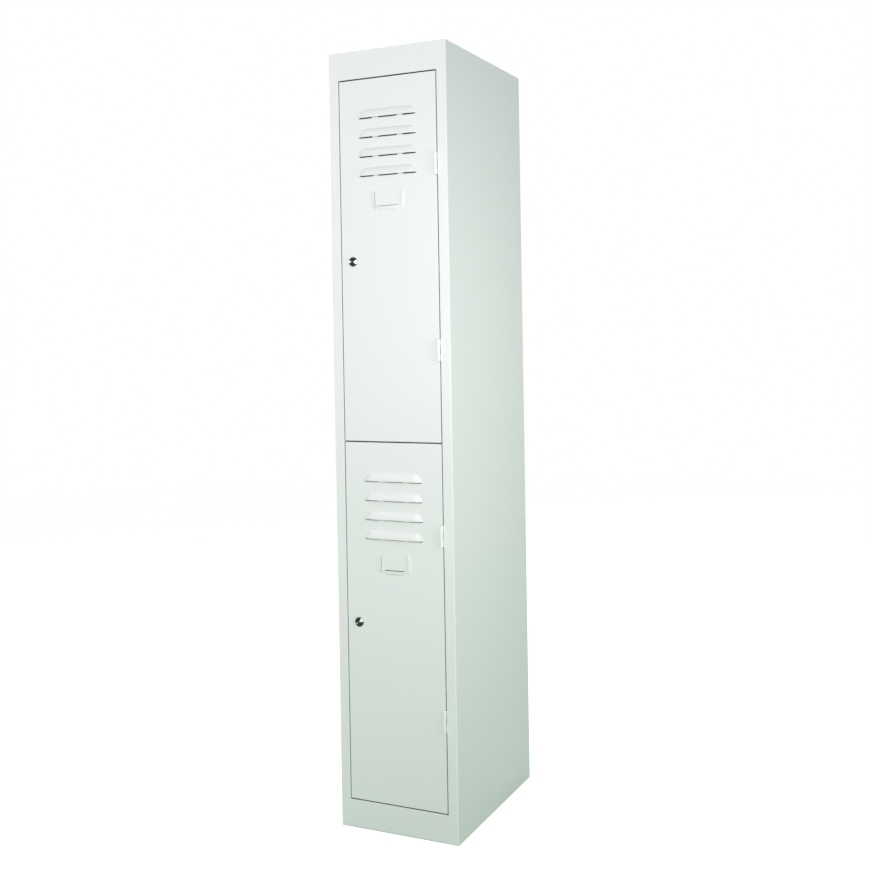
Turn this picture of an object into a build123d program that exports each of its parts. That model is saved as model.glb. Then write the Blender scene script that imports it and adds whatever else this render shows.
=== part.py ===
from build123d import *
import os

# A two-door steel storage locker, one compartment above the other. Millimetres.
# X runs to the right, Y to the back and Z up, and the front faces -Y.
# The origin lies on the floor, under the middle of the locker's overall box.

# Overall sizes of the steel body
cabinet_width = 305.0
cabinet_depth = 455.0
cabinet_height = 1830.0

# Sheet steel and its folds
sheet = 0.8
fold_radius = 1.2
cut_overrun = 5.0

# Front frame
stile_width = 25.0
header_height = 65.0
kick_height = 67.0
jamb_depth = 22.0
stop_flange_width = 12.0
rail_flange_width = 12.0
strap_reach = 18.0
strap_inset = 4.0

# Side, back, top and shelves
rear_flange_width = 15.0
foot_flange_width = 18.0
foot_flange_relief = 4.0
tray_flange = 20.0
top_flange = 20.0
shelf_overlap = 14.0
shelf_lip_return = 12.0
shelf_lip_relief = 1.0
shelf_ear_clearance = 0.5
panel_edge_radius = 0.5

# Blind rivets along both edges of the back panel
rivet_radius = 1.6
rivet_head_radius = 3.2
rivet_head_height = 1.1
rivet_inset = 9.0
rivet_end_distance = 90.0
rivet_rows = 7
rivet_fit = 0.05

# Wall fixing holes in the back panel
wall_hole_radius = 4.0
wall_hole_spacing_x = 180.0
wall_hole_spacing_z = 1500.0

# Doors
door_gap = 2.0
door_depth = 20.0
door_lip_width = 14.0
stiffener_channel = 48.0
stiffener_flange = 16.0
stiffener_depth = 16.0
stiffener_end_gap = 6.0

# Ventilation louvres, pressed out of the door skin
louvre_count = 4
louvre_length = 144.0
louvre_height = 17.5
louvre_projection = 6.0
louvre_gap = 2.0
louvre_pitch = 45.0
louvre_below_door_top = 91.0

# Card holder, three ribs pressed out of the door skin
card_rib_height = 9.0
card_rib_projection = 2.8
card_rib_gap = 1.6
card_side_rib_length = 41.0
card_bottom_rib_length = 56.0
card_width = 70.0
card_side_ribs_below_door_top = 284.0
card_slot_below_door_top = 299.0

# Hinges
hinge_length = 50.0
hinge_inset = 211.0
hinge_axis_inset = 2.5
knuckle_radius = 4.0
knuckle_gap = 0.25
leaf_thickness = 1.5
leaf_width = 22.0
leaf_clearance = 0.3
leaf_slot_clearance = 0.4
notch_clearance = 1.0
pin_clearance = 0.05
pin_head_radius = 3.2
pin_head_height = 0.6

# Rubber buffers on the stop flange
buffer_radius = 4.5
buffer_stem_radius = 1.8
buffer_bulb_radius = 2.8
buffer_bulb_height = 2.0
buffer_inset = 120.0
buffer_gap = 0.3
buffer_fit = 0.05

# Cam locks
lock_inset = 30.0
lock_below_door_top = 425.0
lock_head_radius = 10.8
lock_head_thickness = 2.5
lock_rim_radius = 0.7
lock_barrel_radius = 9.0
lock_flat_width = 16.0
lock_fit = 0.1
lock_nut_width = 24.0
lock_nut_thickness = 5.0
plug_radius = 6.0
plug_clearance = 0.05
keyway_width = 1.6
keyway_height = 6.4
keyway_depth = 19.0
wafer_count = 5
wafer_thickness = 0.9
wafer_width = 5.0
wafer_height = 10.4
wafer_pitch = 2.6
wafer_first = 3.0
wafer_fit = 0.05
wafer_window_width = 2.2
wafer_window_height = 7.0
tang_width = 7.0
cam_gap = 1.0
cam_body_gap = 0.3
cam_thickness = 2.0
cam_width = 14.0
cam_reach = 28.0
cam_tip_radius = 3.0
cam_screw_radius = 2.0
cam_screw_length = 8.0
cam_screw_head_radius = 5.5
cam_screw_head_height = 2.4
cam_screw_slot_width = 1.2
cam_screw_slot_depth = 1.2
cam_screw_end_gap = 1.0

# Double coat hooks under each compartment's ceiling
hook_plate_length = 60.0
hook_plate_width = 22.0
hook_plate_thickness = 2.0
hook_plate_corner = 5.0
hook_stem_length = 26.0
hook_wire_radius = 3.0
hook_bend_radius = 14.0
hook_tip_radius = 4.2
hook_rivet_spacing = 44.0
hook_rivet_radius = 2.4
hook_rivet_head_radius = 4.4
hook_rivet_head_height = 1.4

# Places worked out from the sizes above
hinge_bore_radius = knuckle_radius - leaf_thickness
hinge_axis_forward = hinge_bore_radius - sheet
front_projection = max(louvre_projection, knuckle_radius + hinge_axis_forward, lock_head_thickness)
front = -(cabinet_depth - front_projection) / 2
back = front + cabinet_depth
left = -cabinet_width / 2
right = cabinet_width / 2
opening_left = left + stile_width
opening_right = right - stile_width
opening_bottom = kick_height
opening_top = cabinet_height - header_height
stop_face = front + jamb_depth
stop_back = stop_face + sheet
stop_left = opening_left + stop_flange_width
stop_right = opening_right - stop_flange_width

door_left = opening_left + door_gap
door_right = opening_right - door_gap
door_height = (opening_top - opening_bottom - 3 * door_gap) / 2
lower_door_bottom = opening_bottom + door_gap
upper_door_bottom = lower_door_bottom + door_height + door_gap
door_bottoms = {"upper": upper_door_bottom, "lower": lower_door_bottom}
middle_gap = upper_door_bottom - door_gap / 2

shelf_top = middle_gap + shelf_overlap
shelf_rear = back - 2 * sheet - fold_radius
floor_top = opening_bottom
under_top = cabinet_height - sheet

hinge_x = door_right - hinge_axis_inset
hinge_y = front - hinge_axis_forward
knuckle_length = (hinge_length - 2 * knuckle_gap) / 3
pin_radius = hinge_bore_radius - pin_clearance
lock_x = door_left + lock_inset
cam_front = jamb_depth + sheet + cam_gap
cam_back = cam_front + cam_thickness


def block(x0, x1, y0, y1, z0, z1):
    """A box between two places on each axis."""
    return Pos(x0, y0, z0) * Box(x1 - x0, y1 - y0, z1 - z0, align=(Align.MIN, Align.MIN, Align.MIN))


def bar(width, y0, y1, height):
    """A box along Y between two places, centred on the axis x = z = 0."""
    return block(-width / 2, width / 2, y0, y1, -height / 2, height / 2)


def rod(radius, y0, y1):
    """A round bar along Y between two places, on the axis x = z = 0."""
    return Pos(0, (y0 + y1) / 2, 0) * Rot(90, 0, 0) * Cylinder(radius, y1 - y0)


def post(radius, z0, z1):
    """A round bar along Z between two heights, on the axis x = y = 0."""
    return Pos(0, 0, (z0 + z1) / 2) * Cylinder(radius, z1 - z0)


def folded_section(points):
    """Section of sheet folded at right angles: its outer face follows the points, metal on their right."""
    spots = [Vector(*point) for point in points]
    steps = [(end - start).normalized() for start, end in zip(spots, spots[1:])]
    offsets = [Vector(step.Y, -step.X) * sheet for step in steps]
    far_side = [spots[0] + offsets[0]]
    near_radii = []
    far_radii = []
    for index in range(1, len(steps)):
        turns_left = steps[index - 1].cross(steps[index]).Z > 0
        far_side.append(spots[index] + offsets[index - 1] + offsets[index])
        near_radii.append(fold_radius if turns_left else fold_radius + sheet)
        far_radii.append(fold_radius + sheet if turns_left else fold_radius)
    far_side.append(spots[-1] + offsets[-1])
    radii = [0, *near_radii, 0, 0, *reversed(far_radii), 0]
    return make_face(FilletPolyline(*spots, *reversed(far_side), radius=radii, close=True))


def folded_upright(points, z0, z1):
    """A folded sheet whose plan is given, standing between two heights."""
    return extrude(Plane.XY.offset(z0) * folded_section(points), amount=z1 - z0, dir=(0, 0, 1))


def folded_rail(points, x0, x1):
    """A folded sheet whose side view (y, z) is given, running across between two places."""
    return extrude(Plane.YZ.offset(x0) * folded_section(points), amount=x1 - x0, dir=(1, 0, 0))


def hinge_heights(bottom):
    """Heights of the middles of a door's two hinges."""
    return {"bottom": bottom + hinge_inset, "top": bottom + door_height - hinge_inset}


def all_hinge_heights():
    return [height for bottom in door_bottoms.values() for height in hinge_heights(bottom).values()]


def buffer_places():
    """Middles of the rubber buffers, two for each door, on the left stop flange."""
    x = opening_left + stop_flange_width / 2
    ends = [buffer_inset, door_height - buffer_inset]
    return [Pos(x, stop_face, bottom + end) for bottom in door_bottoms.values() for end in ends]


def rivet_places():
    """Places of the back panel's rivets, on the inner face of the panel."""
    x = cabinet_width / 2 - rivet_inset
    step = (under_top - 2 * rivet_end_distance) / (rivet_rows - 1)
    heights = [rivet_end_distance + step * row for row in range(rivet_rows)]
    return [Pos(side * x, back - 2 * sheet, height) for side in (-1, 1) for height in heights]


def side_panel():
    """Left side, one folded sheet: web, front stile, jamb, stop flange, rear flange and foot flange."""
    stile = [(opening_left, front), (left, front), (left, back), (left + rear_flange_width, back)]
    jamb = [(stop_left, stop_face), (opening_left, stop_face), *stile]
    panel = folded_upright(stile, 0, opening_bottom)
    panel += folded_upright(jamb, opening_bottom, opening_top)
    panel += folded_upright(stile, opening_top, under_top)
    for z0 in (opening_bottom, opening_top - stop_flange_width):
        panel -= block(opening_left, stop_left + cut_overrun, stop_face - cut_overrun,
                       stop_back + cut_overrun, z0, z0 + stop_flange_width)
    panel += block(left + sheet, left + foot_flange_width, front + sheet + foot_flange_relief,
                   back - sheet - foot_flange_relief, 0, sheet)
    for place in rivet_places():
        panel -= place * rod(rivet_radius + rivet_fit, -cut_overrun, cut_overrun)
    return panel


def left_side_panel():
    panel = side_panel()
    for place in buffer_places():
        panel -= place * rod(buffer_stem_radius + buffer_fit, -cut_overrun, cut_overrun)
    return panel


def right_side_panel():
    """Mirror of the left side, with slots at its front fold for the hinge leaves."""
    panel = mirror(side_panel(), about=Plane.YZ)
    reach = hinge_length / 2 + leaf_slot_clearance
    slot_back = hinge_y + knuckle_radius + leaf_slot_clearance
    for height in all_hinge_heights():
        panel -= block(opening_right - cut_overrun, opening_right + sheet + fold_radius,
                       front - cut_overrun, slot_back, height - reach, height + reach)
    return panel


def header_rail():
    """Rail over the upper door, with the top stop flange."""
    top = under_top
    section = [(stop_face, opening_top - stop_flange_width), (stop_face, opening_top), (front, opening_top),
               (front, top), (front + rail_flange_width, top)]
    return folded_rail(section, opening_left, opening_right)


def kick_plate():
    """Rail under the lower door, with the bottom stop flange and a foot flange on the floor."""
    section = [(front + rail_flange_width, 0), (front, 0), (front, opening_bottom),
               (stop_face, opening_bottom), (stop_face, opening_bottom + stop_flange_width)]
    return folded_rail(section, opening_left, opening_right)


def front_joint_straps():
    """Flat straps welded behind the joints between the stiles and both rails."""
    inset = sheet + strap_inset
    straps = []
    for z0, z1 in ((0, opening_bottom), (opening_top, under_top)):
        for edge in (opening_left, opening_right):
            straps.append(block(edge - strap_reach, edge + strap_reach, front + sheet, front + 2 * sheet,
                                z0 + inset, z1 - inset))
    return Compound(children=straps)


def shelf_tray(top, y0):
    """A shelf plate with its edges turned down, and flat ears that reach into the stiles at the front."""
    x0 = left + sheet
    x1 = right - sheet
    low = top - tray_flange
    outer = block(x0, x1, y0, shelf_rear, low, top)
    outer = fillet(outer.edges().group_by(Axis.Z)[-1], fold_radius + sheet)
    inner = block(x0 + sheet, x1 - sheet, y0 + sheet, shelf_rear - sheet, low - cut_overrun, top - sheet)
    inner = fillet(inner.edges().group_by(Axis.Z)[-1], fold_radius)
    tray = outer - inner
    ear_inner = opening_right + sheet + shelf_ear_clearance
    ear_rear = y0 + sheet + fold_radius
    corner = block(ear_inner, right, y0 - cut_overrun, ear_rear, low - cut_overrun, top + cut_overrun)
    ear = block(ear_inner, x1 - fold_radius, front + sheet + fold_radius, ear_rear, top - sheet, top)
    tray = tray - corner + ear
    return tray - mirror(corner, about=Plane.YZ) + mirror(ear, about=Plane.YZ)


def hook_rivet_places(ceiling):
    """Places of a coat hook's two rivets, on the ceiling's underside."""
    return [Pos(side * hook_rivet_spacing / 2, 0, ceiling) for side in (-1, 1)]


def hook_rivet_holes(ceiling):
    return [place * post(hook_rivet_radius + rivet_fit, -cut_overrun, cut_overrun)
            for place in hook_rivet_places(ceiling)]


def bottom_shelf():
    return shelf_tray(floor_top, stop_back)


def middle_shelf():
    """Shelf between the compartments, with a deep front lip that both doors close against."""
    shelf = shelf_tray(shelf_top, stop_back)
    low = middle_gap - shelf_overlap
    behind = stop_face + shelf_lip_return
    shelf -= block(stop_left - shelf_lip_relief, stop_right + shelf_lip_relief, stop_face, behind,
                   shelf_top - tray_flange - cut_overrun, shelf_top + cut_overrun)
    lip = [(behind, low), (stop_face, low), (stop_face, shelf_top), (behind, shelf_top)]
    shelf += folded_rail(lip, stop_left, stop_right)
    for hole in hook_rivet_holes(shelf_top - sheet):
        shelf -= hole
    return shelf


def top_panel():
    """Flat top over sides, header and back, with flanges down inside the sides and the back."""
    plate = block(left, right, front, back, under_top, cabinet_height)
    plate = fillet(plate.edges().group_by(Axis.Z)[-1], panel_edge_radius)
    low = under_top - top_flange
    for x0 in (left + sheet, right - 2 * sheet):
        plate += block(x0, x0 + sheet, stop_back, shelf_rear, low, under_top)
    inner_face = back - 2 * sheet
    plate += block(opening_left, opening_right, inner_face - sheet, inner_face, low, under_top)
    for hole in hook_rivet_holes(under_top):
        plate -= hole
    return plate


def back_panel():
    """Flat back inside the rear flanges, with rivet holes and four holes for fixing to a wall."""
    edge = cabinet_width / 2 - sheet - fold_radius
    panel = block(-edge, edge, back - 2 * sheet, back - sheet, 0, under_top)
    for place in rivet_places():
        panel -= place * rod(rivet_radius + rivet_fit, -cut_overrun, cut_overrun)
    middle = (floor_top + opening_top) / 2
    for x in (-wall_hole_spacing_x / 2, wall_hole_spacing_x / 2):
        for z in (-wall_hole_spacing_z / 2, wall_hole_spacing_z / 2):
            panel -= Pos(x, back, middle + z) * rod(wall_hole_radius, -cut_overrun, cut_overrun)
    return panel


def back_panel_rivets():
    """One rivet per place: a round head inside, and a shank that ends flush with the rear flange."""
    rivet = rod(rivet_radius, 0, 2 * sheet) + rod(rivet_head_radius, -rivet_head_height, 0)
    return Compound(children=[place * rivet for place in rivet_places()])


def door_buffers():
    """Rubber buffers pressed into the stop flange: round pad, stem and retaining bulb."""
    pad_thickness = jamb_depth - door_depth - buffer_gap
    pad = rod(buffer_radius, -pad_thickness, 0)
    stem = rod(buffer_stem_radius, 0, sheet)
    bulb = rod(buffer_bulb_radius, sheet, sheet + buffer_bulb_height)
    return Compound(children=[place * (pad + stem + bulb) for place in buffer_places()])


def coat_hook(ceiling):
    """Double hook: a plate, a stem and two prongs that curl up on either side."""
    plate = extrude(RectangleRounded(hook_plate_length, hook_plate_width, hook_plate_corner),
                    amount=hook_plate_thickness, dir=(0, 0, -1))
    for place in hook_rivet_places(0):
        plate -= place * post(hook_rivet_radius + rivet_fit, -cut_overrun, cut_overrun)
    low = -hook_plate_thickness - hook_stem_length
    hook = plate + post(hook_wire_radius, low, -hook_plate_thickness)
    wire = Plane.XY.offset(low) * Circle(hook_wire_radius)
    for side in (-1, 1):
        centre = Axis((side * hook_bend_radius, 0, low), (0, -side, 0))
        hook += revolve(wire, axis=centre, revolution_arc=180)
        hook += Pos(side * 2 * hook_bend_radius, 0, low) * Sphere(hook_tip_radius)
    return Pos(0, 0, ceiling) * hook


def coat_hook_rivets():
    """Rivets that hold both hooks: heads under the plates, shanks flush above the ceilings."""
    shank = post(hook_rivet_radius, -hook_plate_thickness, sheet)
    head_low = -hook_plate_thickness - hook_rivet_head_height
    head = post(hook_rivet_head_radius, head_low, -hook_plate_thickness)
    places = hook_rivet_places(under_top) + hook_rivet_places(shelf_top - sheet)
    return Compound(children=[place * (shank + head) for place in places])


def hood_bar(length, height, projection):
    """A bar on the skin's face with a quarter-ellipse section and quarter-round ends, flat at z = 0."""
    straight = length - 2 * height
    edge = Polyline((0, height), (0, 0), (-projection, 0))
    curve = EllipticalCenterArc((0, 0), projection, height, start_angle=90, arc_size=90)
    face = make_face(edge + curve)
    middle = extrude(Plane.YZ.offset(-straight / 2) * face, amount=straight, dir=(1, 0, 0))
    turning = Axis((straight / 2, 0, 0), (0, 1, 0))
    end = revolve(Plane.YZ.offset(straight / 2) * face, axis=turning, revolution_arc=90)
    return middle + end + mirror(end, about=Plane.YZ)


def pressed_hood(length, height, projection, gap):
    """A hood pressed out of the skin, its mouth facing down at z = 0, and the hole behind it."""
    straight = length - 2 * height
    inner = height - sheet
    shell = hood_bar(length, height, projection)
    shell -= hood_bar(length - 2 * sheet, inner, projection - sheet)
    outline = SlotCenterToCenter(straight, 2 * inner) & Pos(0, inner / 2) * Rectangle(length, inner)
    outline += Pos(0, -gap / 2) * Rectangle(length - 2 * sheet, gap)
    plane = Plane((0, -sheet, 0), x_dir=(1, 0, 0), z_dir=(0, -1, 0))
    hole = extrude(plane * outline, amount=3 * sheet, dir=(0, 1, 0))
    return shell, hole


def door_pressings(bottom):
    """Placed hoods of one door: the louvres and the card holder's three ribs."""
    top = bottom + door_height
    louvre = pressed_hood(louvre_length, louvre_height, louvre_projection, louvre_gap)
    side_rib = pressed_hood(card_side_rib_length, card_rib_height, card_rib_projection, card_rib_gap)
    bottom_rib = pressed_hood(card_bottom_rib_length, card_rib_height, card_rib_projection, card_rib_gap)
    placed = []
    for number in range(louvre_count):
        height = top - louvre_below_door_top - louvre_pitch * number
        placed.append((Pos(0, front, height), louvre))
    rib_middle = top - card_side_ribs_below_door_top
    for side in (-1, 1):
        placed.append((Pos(side * card_width / 2, front, rib_middle) * Rot(0, side * 90, 0), side_rib))
    placed.append((Pos(0, front, top - card_slot_below_door_top) * Rot(0, 180, 0), bottom_rib))
    return placed


def lock_barrel(radius, flat, y0, y1):
    """A round bar with two flats, left and right."""
    return rod(radius, y0, y1) & bar(flat, y0, y1, 2 * radius)


def door_skin(bottom):
    """Door pan: flat skin with its edges and lips turned back, hinge notches, louvres and card holder."""
    top = bottom + door_height
    rear = front + door_depth
    outer = block(door_left, door_right, front, rear, bottom, top)
    outer = fillet(outer.edges().group_by(Axis.Y)[0], fold_radius + sheet)
    inner = block(door_left + sheet, door_right - sheet, front + sheet, rear - sheet,
                  bottom + sheet, top - sheet)
    inner = fillet(inner.edges().group_by(Axis.Y)[0], fold_radius)
    window = block(door_left + door_lip_width, door_right - door_lip_width, front + door_depth / 2,
                   rear + cut_overrun, bottom + door_lip_width, top - door_lip_width)
    pan = outer - inner - window
    reach = hinge_length / 2 + notch_clearance
    notch_left = hinge_x - knuckle_radius - notch_clearance
    notch_back = hinge_y + knuckle_radius + notch_clearance
    for height in hinge_heights(bottom).values():
        pan -= block(notch_left, door_right + cut_overrun, front - cut_overrun, notch_back,
                     height - reach, height + reach)
    for place, (shell, hole) in door_pressings(bottom):
        pan -= place * hole
        pan += place * shell
    lock_hole = lock_barrel(lock_barrel_radius + lock_fit, lock_flat_width + 2 * lock_fit, 0, sheet)
    return pan - lock_place(bottom) * lock_hole


def door_stiffener(bottom):
    """Hat-shaped channel up the middle of the door, welded to the back of the skin."""
    skin_back = front + sheet
    crown = skin_back + stiffener_depth
    inner = stiffener_channel / 2
    outer = inner + stiffener_flange
    section = [(outer, skin_back), (inner, skin_back), (inner, crown), (-inner, crown), (-inner, skin_back),
               (-outer, skin_back)]
    return folded_upright(section, bottom + stiffener_end_gap, bottom + door_height - stiffener_end_gap)


def hinge_frame_leaf():
    """Leaf with the outer two knuckles, about the hinge's own axis. It runs behind the stile."""
    half = hinge_length / 2
    middle = knuckle_length / 2 + knuckle_gap
    reach = knuckle_radius + leaf_clearance
    leaf = block(0, leaf_width, hinge_bore_radius, knuckle_radius, -half, half)
    leaf += post(knuckle_radius, -half, half)
    leaf -= block(-reach, reach, -reach, reach, -middle, middle)
    return leaf - post(hinge_bore_radius, -half, half)


def hinge_door_leaf():
    """Leaf with the middle knuckle. It lies on the back of the door skin."""
    half = hinge_length / 2
    middle = knuckle_length / 2
    reach = knuckle_radius + leaf_clearance
    leaf = block(-leaf_width, -reach, hinge_bore_radius, knuckle_radius, -half, half)
    leaf += block(-leaf_width, 0, hinge_bore_radius, knuckle_radius, -middle, middle)
    leaf += post(knuckle_radius, -middle, middle)
    return leaf - post(hinge_bore_radius, -middle, middle)


def hinge_pin():
    """Pin through all three knuckles, with a flat head at each end."""
    half = hinge_length / 2
    pin = post(pin_radius, -half, half)
    pin += post(pin_head_radius, half, half + pin_head_height)
    return pin + post(pin_head_radius, -half - pin_head_height, -half)


def lock_place(bottom):
    """The lock's axis on the front face of a door."""
    return Pos(lock_x, front, bottom + door_height - lock_below_door_top)


def lock_body():
    """Round head on the door's face and a barrel with flats through it, bored for the plug."""
    head = rod(lock_head_radius, -lock_head_thickness, 0)
    head = fillet(head.edges().group_by(Axis.Y)[0], lock_rim_radius)
    end = cam_front - cam_body_gap
    body = head + lock_barrel(lock_barrel_radius, lock_flat_width, 0, end)
    return body - rod(plug_radius + plug_clearance, -lock_head_thickness, end)


def lock_nut():
    """Hexagon nut that clamps the lock to the back of the skin."""
    hexagon = RegularPolygon(lock_nut_width / 2, 6, major_radius=False)
    plane = Plane((0, sheet, 0), x_dir=(1, 0, 0), z_dir=(0, -1, 0))
    nut = extrude(plane * hexagon, amount=lock_nut_thickness, dir=(0, 1, 0))
    return nut - rod(lock_barrel_radius + lock_fit, sheet, sheet + lock_nut_thickness)


def wafer_places():
    return [Pos(0, wafer_first + wafer_pitch * number, 0) for number in range(wafer_count)]


def lock_plug():
    """Turning core with keyway and wafer slots, and a square tang that drives the cam."""
    plug = rod(plug_radius, -lock_head_thickness, cam_front)
    plug += bar(tang_width, cam_front, cam_back, tang_width)
    plug -= bar(keyway_width, -lock_head_thickness, keyway_depth, keyway_height)
    slot = bar(wafer_width + 2 * wafer_fit, -wafer_fit, wafer_thickness + wafer_fit, 2 * plug_radius)
    for place in wafer_places():
        plug -= place * slot
    screw_hole_start = cam_back - cam_screw_length - cam_screw_end_gap
    return plug - rod(cam_screw_radius + lock_fit / 2, screw_hole_start, cam_back)


def lock_wafers():
    """Flat wafers in the plug, each with a window for the key."""
    wafer = bar(wafer_width, 0, wafer_thickness, wafer_height)
    wafer -= bar(wafer_window_width, 0, wafer_thickness, wafer_window_height)
    return Compound(children=[place * wafer for place in wafer_places()])


def lock_cam():
    """Flat cam on the plug's tang. It points up when the door is free, and turns behind the stop flange."""
    half = cam_width / 2
    cam = block(-half, half, cam_front, cam_back, 0, cam_reach)
    cam = fillet(cam.edges().filter_by(Axis.Y).group_by(Axis.Z)[-1], cam_tip_radius)
    cam += rod(half, cam_front, cam_back)
    hole = tang_width + 2 * lock_fit
    return cam - bar(hole, cam_front, cam_back, hole)


def cam_screw():
    """Screw that holds the cam on the plug, with a slot across its head."""
    end = cam_back + cam_screw_head_height
    screw = rod(cam_screw_radius, cam_back - cam_screw_length, cam_back)
    screw += rod(cam_screw_head_radius, cam_back, end)
    return screw - bar(cam_screw_slot_width, end - cam_screw_slot_depth, end, 2 * cam_screw_head_radius)


def cabinet_nodes():
    return {
        "left_side_panel": left_side_panel(),
        "right_side_panel": right_side_panel(),
        "top_panel": top_panel(),
        "header_rail": header_rail(),
        "kick_plate": kick_plate(),
        "front_joint_straps": front_joint_straps(),
        "bottom_shelf": bottom_shelf(),
        "middle_shelf": middle_shelf(),
        "back_panel": back_panel(),
        "back_panel_rivets": back_panel_rivets(),
        "door_buffers": door_buffers(),
        "upper_coat_hook": coat_hook(under_top),
        "lower_coat_hook": coat_hook(shelf_top - sheet),
        "coat_hook_rivets": coat_hook_rivets(),
    }


def door_nodes(name, bottom):
    """All pieces of one door with its hinges and its lock."""
    nodes = {
        name + "_door_skin": door_skin(bottom),
        name + "_door_stiffener": door_stiffener(bottom),
    }
    for end, height in hinge_heights(bottom).items():
        place = Pos(hinge_x, hinge_y, height)
        hinge = name + "_door_" + end + "_hinge"
        nodes[hinge + "_frame_leaf"] = place * hinge_frame_leaf()
        nodes[hinge + "_door_leaf"] = place * hinge_door_leaf()
        nodes[hinge + "_pin"] = place * hinge_pin()
    place = lock_place(bottom)
    nodes[name + "_lock_body"] = place * lock_body()
    nodes[name + "_lock_nut"] = place * lock_nut()
    nodes[name + "_lock_plug"] = place * lock_plug()
    nodes[name + "_lock_wafers"] = place * lock_wafers()
    nodes[name + "_lock_cam"] = place * lock_cam()
    nodes[name + "_lock_cam_screw"] = place * cam_screw()
    return nodes


def main():
    os.makedirs("parts", exist_ok=True)
    nodes = cabinet_nodes()
    for name, bottom in door_bottoms.items():
        nodes.update(door_nodes(name, bottom))
    for name, shape in nodes.items():
        export_step(shape, "parts/" + name + ".step")
    print(len(nodes), "nodes, front at", front, "back at", back)


main()
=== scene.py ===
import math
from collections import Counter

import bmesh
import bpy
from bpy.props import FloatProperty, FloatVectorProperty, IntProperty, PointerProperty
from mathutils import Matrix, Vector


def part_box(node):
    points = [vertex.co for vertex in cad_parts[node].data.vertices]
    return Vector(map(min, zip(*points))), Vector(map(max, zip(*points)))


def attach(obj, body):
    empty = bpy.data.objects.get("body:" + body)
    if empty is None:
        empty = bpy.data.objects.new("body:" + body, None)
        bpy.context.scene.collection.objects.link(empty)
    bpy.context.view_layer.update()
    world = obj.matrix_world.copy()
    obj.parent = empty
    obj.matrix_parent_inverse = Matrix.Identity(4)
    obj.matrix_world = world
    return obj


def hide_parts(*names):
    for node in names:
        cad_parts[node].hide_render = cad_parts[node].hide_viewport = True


bl_info = {
    "name": "Two-Door Storage Locker",
    "version": (1, 0, 0),
    "blender": (4, 5, 0),
    "location": "3D View > Sidebar > Locker",
    "description": "Sheet-steel pieces, finishes and studio for a two-door locker on its packed frame",
    "category": "Add Mesh",
}

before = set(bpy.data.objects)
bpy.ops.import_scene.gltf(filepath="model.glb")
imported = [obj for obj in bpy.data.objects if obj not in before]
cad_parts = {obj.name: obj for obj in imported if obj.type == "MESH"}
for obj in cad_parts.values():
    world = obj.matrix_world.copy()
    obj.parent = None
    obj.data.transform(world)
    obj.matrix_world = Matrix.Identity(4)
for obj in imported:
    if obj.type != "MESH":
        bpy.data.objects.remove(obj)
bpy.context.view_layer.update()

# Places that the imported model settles. Metres, X to the right, Y to the back, Z up, front facing -Y.
side_low, side_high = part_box("left_side_panel")
LEFT = side_low.x
RIGHT = -LEFT
FRONT = side_low.y
BACK = side_high.y
SIDE_TOP = side_high.z
STOP_LEFT = side_high.x
LEFTWARD = Vector((-1, 0, 0))
FRONTWARD = Vector((0, -1, 0))
DOWNWARD = Vector((0, 0, -1))

# Points this close count as one. A rounding takes up this share of its room, so that it stays clear
# of its neighbours.
NEAR = 1e-6
ALMOST = 0.98

# Edges bent further than this stay sharp, and flat faces lead the shading by this weight.
SHARP_ANGLE = math.radians(38)
FLAT_WEIGHT = 60


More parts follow.
